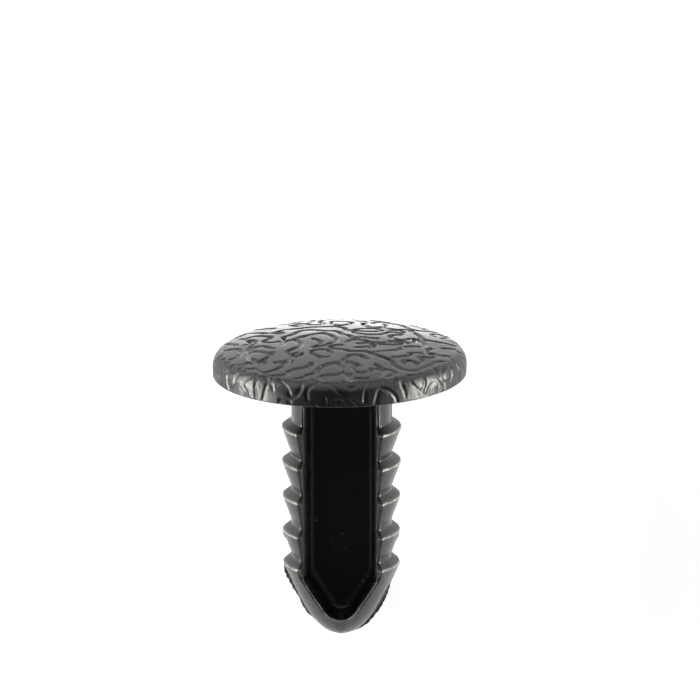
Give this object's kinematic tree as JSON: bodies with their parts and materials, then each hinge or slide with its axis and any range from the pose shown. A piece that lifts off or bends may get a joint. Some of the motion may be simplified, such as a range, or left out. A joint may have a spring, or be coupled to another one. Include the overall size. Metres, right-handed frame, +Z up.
{
  "type": "canoe clip",
  "caption": "Push-in trim clip with a low domed, grained head and a barbed, split stem ending in a bullet nose, moulded in black plastic.",
  "frame": {"origin": "on the floor, under the middle of the lying clip's bounding box", "axes": "+Z up, +Y from the nose towards the head along the floor, +X across the clip; one pocket of the stem faces up"},
  "size_m": [0.02, 0.025, 0.019],
  "materials": {
    "body": "black nylon as moulded: satin grained head, satin stem"
  },
  "bodies": {
    "root": {"clip": "body"}
  },
  "joints": []
}
